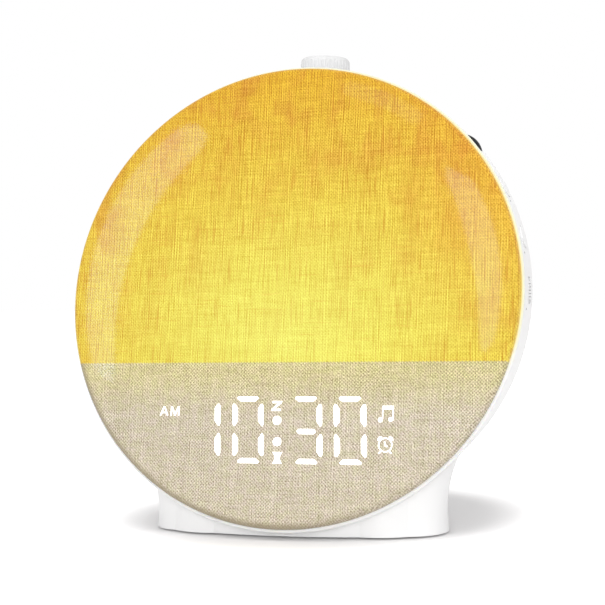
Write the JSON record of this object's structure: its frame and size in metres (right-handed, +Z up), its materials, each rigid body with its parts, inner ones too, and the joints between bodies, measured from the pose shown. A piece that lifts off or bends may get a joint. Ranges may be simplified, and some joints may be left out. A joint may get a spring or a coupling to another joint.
{
  "type": "sunrise alarm clock",
  "caption": "Bedside sunrise lamp clock: a leaning linen light disc with lit digits, a round white housing on a flared oval foot, a fluted knob and side buttons.",
  "frame": {"origin": "on the table, under the middle of the clock's bounding box", "axes": "+X to the viewer's right, +Y from the linen front to the flat back, +Z up from the table"},
  "size_m": [0.1824, 0.0823, 0.1879],
  "materials": {
    "linen": "plain woven linen, slubby, stretched over the front",
    "milky_panel": "translucent milk-white diffuser",
    "light_ring": "translucent warm white, satin",
    "white_inner": "moulded",
    "white_board": "white solder mask",
    "led": "phosphor lamps",
    "black_plastic": "moulded",
    "lit_lens": "clear white light guide",
    "unlit_lens": "clear white light guide",
    "green_board": "green solder mask",
    "white_shell": "fine satin moulding",
    "white_knob": "satin moulding with fine flutes",
    "steel": "zinc plated",
    "cell_steel": "plain steel can",
    "rubber": "matte",
    "chip": "moulded package",
    "capacitor": "sleeved can",
    "connector": "natural nylon",
    "painted_basket": "black painted pressing",
    "ferrite": "ground ferrite",
    "paper_cone": "pressed paper",
    "brass_nut": "plated",
    "black_gloss": "polished dome"
  },
  "bodies": {
    "housing": {"fabric_cover": "linen", "front_panel": "milky_panel", "light_ring": "light_ring", "front_chassis": "white_inner", "ring_screws": "steel", "sunrise_board": "white_board", "sunrise_leds": "led", "sunrise_board_screws": "steel", "display_frame": "black_plastic", "lit_segments": "lit_lens", "unlit_segments": "unlit_lens", "display_icon_lenses": "lit_lens", "display_board": "green_board", "display_leds": "led", "rear_housing": "white_shell", "housing_screws": "steel", "base_plate": "white_shell", "base_screws": "steel", "rubber_feet": "rubber", "main_board": "green_board", "main_board_screws": "steel", "processor": "chip", "board_capacitors": "capacitor", "board_connectors": "connector", "power_inlet": "black_plastic", "coin_cell_holder": "black_plastic", "coin_cell": "cell_steel", "battery_door": "white_shell", "battery_door_screw": "steel", "speaker_grille": "white_shell", "speaker_frame": "painted_basket", "speaker_magnet": "ferrite", "speaker_cone": "paper_cone", "speaker_screws": "steel", "encoder_body": "steel", "encoder_nut": "brass_nut", "knob_board": "green_board", "upper_side_board": "green_board", "lower_side_board": "green_board", "button_switches": "black_plastic", "slide_switch": "steel", "side_board_screws": "steel"},
    "plunger": {"encoder_plunger": "black_plastic"},
    "knob": {"top_knob": "white_knob", "knob_shaft": "steel"},
    "black_button": {"black_button": "black_gloss"},
    "upper_button": {"upper_button": "white_shell"},
    "lower_button": {"lower_button": "white_shell"},
    "ribbed_slider": {"ribbed_slider": "white_shell"}
  },
  "joints": [
    {"name": "knob_press", "type": "slide", "parent": "housing", "child": "plunger", "axis": [-0.0436, 0, -0.999], "range_m": [0, 0.0006], "stiffness_N_per_m": 800},
    {"name": "knob_spin", "type": "hinge", "parent": "plunger", "child": "knob", "pos_m": [0.00349, 0.02315, 0.17262], "axis": [0.0436, 0, 0.999], "continuous": true},
    {"name": "black_button_press", "type": "slide", "parent": "housing", "child": "black_button", "axis": [-0.7694, 0, -0.6388], "range_m": [0, 0.0007], "stiffness_N_per_m": 600},
    {"name": "upper_button_press", "type": "slide", "parent": "housing", "child": "upper_button", "axis": [-0.898, 0, -0.4399], "range_m": [0, 0.0007], "stiffness_N_per_m": 600},
    {"name": "lower_button_press", "type": "slide", "parent": "housing", "child": "lower_button", "axis": [-0.9763, 0, -0.2164], "range_m": [0, 0.0007], "stiffness_N_per_m": 600},
    {"name": "slider_slide", "type": "slide", "parent": "housing", "child": "ribbed_slider", "axis": [-0.0192, 0, -0.9998], "range_m": [-0.001, 0.001]}
  ]
}
